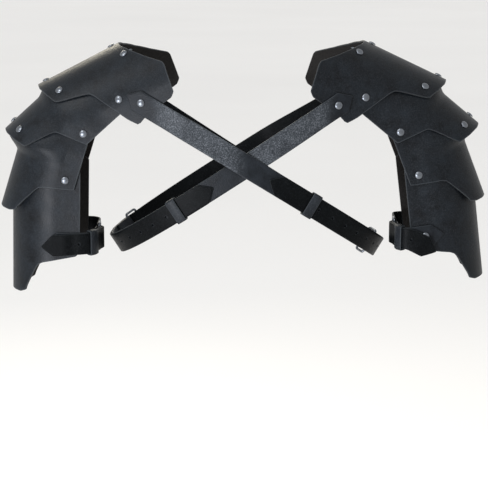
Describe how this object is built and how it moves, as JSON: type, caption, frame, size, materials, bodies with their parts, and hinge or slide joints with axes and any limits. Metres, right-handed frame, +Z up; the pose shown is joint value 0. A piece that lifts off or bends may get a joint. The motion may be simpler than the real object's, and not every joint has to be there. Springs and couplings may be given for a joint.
{
  "type": "pair of strapped leather shoulder guards",
  "caption": "Pair of segmented leather shoulder guards with riveted overlapping lames, crossed torso straps and buckled upper-arm straps, held up in worn position.",
  "frame": {"origin": "midway between the two shoulders, level with the tops of the two top lames at the neck", "axes": "+Z up, +Y the way the wearer faces, +X towards the wearer's right shoulder"},
  "size_m": [0.5746, 0.2429, 0.2918],
  "materials": {
    "plate_leather": "satin dark slate leather",
    "strap_leather": "matte grained near-black leather",
    "tongue_leather": "matte smooth near-black leather",
    "rivet_metal": "polished gunmetal"
  },
  "bodies": {
    "harness": {"left_lame_1": "plate_leather", "left_lame_2": "plate_leather", "left_lame_3": "plate_leather", "left_rivet_neck_middle": "rivet_metal", "left_rivet_neck_back": "rivet_metal", "left_rivet_neck_front": "rivet_metal", "left_rivet_outer_middle": "rivet_metal", "left_rivet_outer_back": "rivet_metal", "left_rivet_outer_front": "rivet_metal", "left_rivet_tab_back": "rivet_metal", "left_rivet_crown_middle": "rivet_metal", "left_rivet_crown_back": "rivet_metal", "left_rivet_crown_front": "rivet_metal", "left_rivet_corner_back": "rivet_metal", "left_rivet_corner_front": "rivet_metal", "left_rivet_pivot_back": "rivet_metal", "left_rivet_pivot_front": "rivet_metal", "left_rivet_strap_back": "rivet_metal", "left_rivet_strap_front": "rivet_metal", "left_torso_strap_back": "strap_leather", "left_torso_strap_front": "tongue_leather", "left_torso_buckle": "rivet_metal", "left_torso_keeper": "strap_leather", "right_lame_1": "plate_leather", "right_lame_2": "plate_leather", "right_lame_3": "plate_leather", "right_rivet_neck_middle": "rivet_metal", "right_rivet_neck_back": "rivet_metal", "right_rivet_neck_front": "rivet_metal", "right_rivet_outer_middle": "rivet_metal", "right_rivet_outer_back": "rivet_metal", "right_rivet_outer_front": "rivet_metal", "right_rivet_tab_back": "rivet_metal", "right_rivet_crown_middle": "rivet_metal", "right_rivet_crown_back": "rivet_metal", "right_rivet_crown_front": "rivet_metal", "right_rivet_corner_back": "rivet_metal", "right_rivet_corner_front": "rivet_metal", "right_rivet_pivot_back": "rivet_metal", "right_rivet_pivot_front": "rivet_metal", "right_rivet_strap_back": "rivet_metal", "right_rivet_strap_front": "rivet_metal", "right_torso_strap_back": "strap_leather", "right_torso_strap_front": "tongue_leather", "right_torso_buckle": "rivet_metal", "right_torso_keeper": "strap_leather"},
    "left_lowest_lame": {"left_lame_4": "plate_leather", "left_rivet_arm_back": "rivet_metal", "left_rivet_arm_front": "rivet_metal", "left_arm_strap_back": "strap_leather", "left_arm_strap_front": "tongue_leather", "left_arm_buckle": "rivet_metal", "left_arm_keeper": "strap_leather"},
    "right_lowest_lame": {"right_lame_4": "plate_leather", "right_rivet_arm_back": "rivet_metal", "right_rivet_arm_front": "rivet_metal", "right_arm_strap_back": "strap_leather", "right_arm_strap_front": "tongue_leather", "right_arm_buckle": "rivet_metal", "right_arm_keeper": "strap_leather"}
  },
  "joints": [
    {"name": "left_lame_swing", "type": "hinge", "parent": "harness", "child": "left_lowest_lame", "pos_m": [-0.2053, 0, -0.1507], "axis": [0, 1, 0], "range_deg": [0, 10]},
    {"name": "right_lame_swing", "type": "hinge", "parent": "harness", "child": "right_lowest_lame", "pos_m": [0.2026, 0, -0.1446], "axis": [0, -1, 0], "range_deg": [0, 4]}
  ]
}
